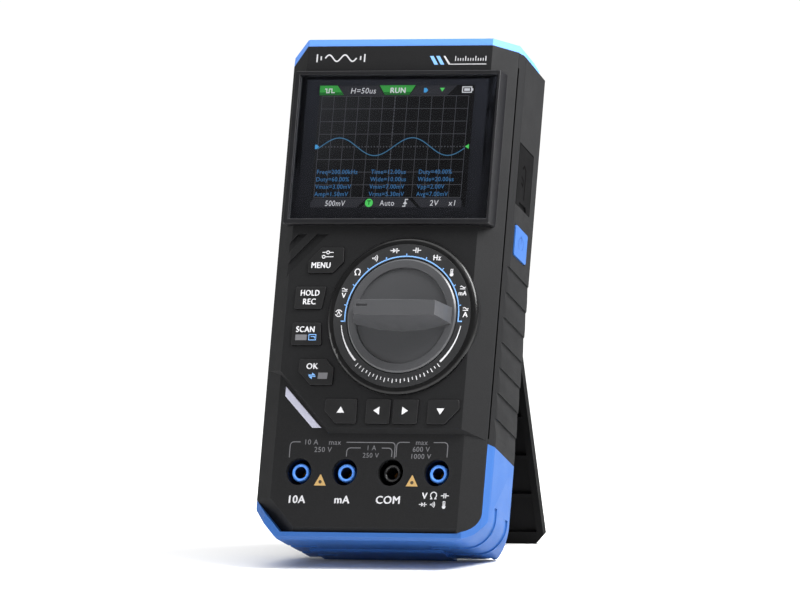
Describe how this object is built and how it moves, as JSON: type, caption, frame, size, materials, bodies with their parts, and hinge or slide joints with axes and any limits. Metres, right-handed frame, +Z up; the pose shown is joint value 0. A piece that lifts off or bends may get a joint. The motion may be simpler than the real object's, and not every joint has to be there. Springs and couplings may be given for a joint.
{
  "type": "handheld oscilloscope",
  "caption": "Hand-held oscilloscope and multimeter with colour display, keypad, range switch, shrouded test jacks, blue bumpers and a fold-out stand.",
  "frame": {"origin": "on the ground under the middle of the bounding box, stand open", "axes": "+Z up, +X to the user's right, +Y away from the user, towards the stand"},
  "size_m": [0.0868, 0.0876, 0.1791],
  "materials": {
    "bezel_black": "smooth satin black",
    "board_green": "solder mask",
    "brass": "turned and plated",
    "bumper_blue": "soft blue overmoulding",
    "cell_wrap": "shrink sleeve",
    "ceramic_white": "fuse body",
    "chip_black": "moulded package",
    "glass_dark": "gloss cover glass, dark behind",
    "jack_black": "black moulded insert",
    "jack_blue": "blue moulded insert",
    "key_black": "satin black key caps",
    "knob_grey": "semi-gloss dark grey",
    "lens": "frosted translucent light bar",
    "light_tray": "pressed tray",
    "panel": "liquid crystal panel",
    "ribbon": "amber film",
    "ring_grey": "printed dark grey ring",
    "shell_black": "fine grained charcoal moulding",
    "silicone": "translucent grey silicone",
    "soft_black": "soft black flap",
    "stand_black": "matt black moulding",
    "steel": "zinc plated"
  },
  "bodies": {
    "case": {"backlight_frame": "light_tray", "battery_cell": "cell_wrap", "battery_contacts": "steel", "battery_door": "shell_black", "battery_holder": "chip_black", "board_screws": "steel", "bottom_bumper": "bumper_blue", "buzzer": "chip_black", "case_screws": "steel", "charger_chip": "chip_black", "converter_chip": "chip_black", "detent_spring": "steel", "dial_ring": "ring_grey", "display_bezel": "bezel_black", "display_glass": "glass_dark", "dome_contacts": "steel", "door_screw": "steel", "front_cover": "shell_black", "fuse_amps": "ceramic_white", "fuse_clips": "brass", "fuse_milliamps": "ceramic_white", "indicator_lamps": "lens", "indicator_lens": "lens", "jack_contact_amps": "brass", "jack_contact_common": "brass", "jack_contact_milliamps": "brass", "jack_contact_volts": "brass", "jack_insert_amps": "jack_blue", "jack_insert_common": "jack_black", "jack_insert_milliamps": "jack_blue", "jack_insert_volts": "jack_blue", "keypad_mat": "silicone", "lcd_module": "panel", "lcd_ribbon": "ribbon", "main_board": "board_green", "power_switch": "chip_black", "processor_chip": "chip_black", "rear_cover": "shell_black", "shield_can": "steel", "stand_pins": "steel", "top_bumper": "bumper_blue", "usb_socket": "steel"},
    "knob": {"range_knob": "knob_grey", "switch_rotor": "jack_black", "rotor_wipers": "brass", "knob_screw": "steel"},
    "power_button": {"power_key": "bumper_blue", "power_plunger": "silicone"},
    "port_flap": {"usb_flap": "soft_black"},
    "stand": {"kickstand": "stand_black"},
    "key_mode": {"key_mode": "key_black"},
    "key_run": {"key_run": "key_black"},
    "key_auto": {"key_auto": "key_black"},
    "key_enter": {"key_enter": "key_black"},
    "key_up": {"key_up": "key_black"},
    "key_left": {"key_left": "key_black"},
    "key_right": {"key_right": "key_black"},
    "key_down": {"key_down": "key_black"}
  },
  "joints": [
    {"name": "range_turn", "type": "hinge", "parent": "case", "child": "knob", "pos_m": [0.00924, -0.02266, 0.08534], "axis": [0, 0.9532, -0.3024], "range_deg": [0, 180], "deforming": ["detent_spring"]},
    {"name": "key_mode_press", "type": "slide", "parent": "case", "child": "key_mode", "axis": [0, 0.9532, -0.3024], "range_m": [0, 0.0008], "stiffness_N_per_m": 500, "springref_m": -0.001, "deforming": ["keypad_mat"]},
    {"name": "key_run_press", "type": "slide", "parent": "case", "child": "key_run", "axis": [0, 0.9532, -0.3024], "range_m": [0, 0.0008], "stiffness_N_per_m": 500, "springref_m": -0.001, "deforming": ["keypad_mat"]},
    {"name": "key_auto_press", "type": "slide", "parent": "case", "child": "key_auto", "axis": [0, 0.9532, -0.3024], "range_m": [0, 0.0008], "stiffness_N_per_m": 500, "springref_m": -0.001, "deforming": ["keypad_mat"]},
    {"name": "key_enter_press", "type": "slide", "parent": "case", "child": "key_enter", "axis": [0, 0.9532, -0.3024], "range_m": [0, 0.0008], "stiffness_N_per_m": 500, "springref_m": -0.001, "deforming": ["keypad_mat"]},
    {"name": "key_up_press", "type": "slide", "parent": "case", "child": "key_up", "axis": [0, 0.9532, -0.3024], "range_m": [0, 0.0008], "stiffness_N_per_m": 500, "springref_m": -0.001, "deforming": ["keypad_mat"]},
    {"name": "key_left_press", "type": "slide", "parent": "case", "child": "key_left", "axis": [0, 0.9532, -0.3024], "range_m": [0, 0.0008], "stiffness_N_per_m": 500, "springref_m": -0.001, "deforming": ["keypad_mat"]},
    {"name": "key_right_press", "type": "slide", "parent": "case", "child": "key_right", "axis": [0, 0.9532, -0.3024], "range_m": [0, 0.0008], "stiffness_N_per_m": 500, "springref_m": -0.001, "deforming": ["keypad_mat"]},
    {"name": "key_down_press", "type": "slide", "parent": "case", "child": "key_down", "axis": [0, 0.9532, -0.3024], "range_m": [0, 0.0008], "stiffness_N_per_m": 500, "springref_m": -0.001, "deforming": ["keypad_mat"]},
    {"name": "power_press", "type": "slide", "parent": "case", "child": "power_button", "axis": [-1, 0, 0], "range_m": [0, 0.0008], "stiffness_N_per_m": 500, "springref_m": -0.001},
    {"name": "flap_swing", "type": "hinge", "parent": "case", "child": "port_flap", "pos_m": [0.0429, 0.01329, 0.14014], "axis": [0, -0.9016, 0.4325], "range_deg": [0, 110]},
    {"name": "stand_swing", "type": "hinge", "parent": "case", "child": "stand", "pos_m": [-0.00022, 0.01695, 0.08982], "axis": [1, 0, 0], "range_deg": [-33.4, 0]}
  ]
}
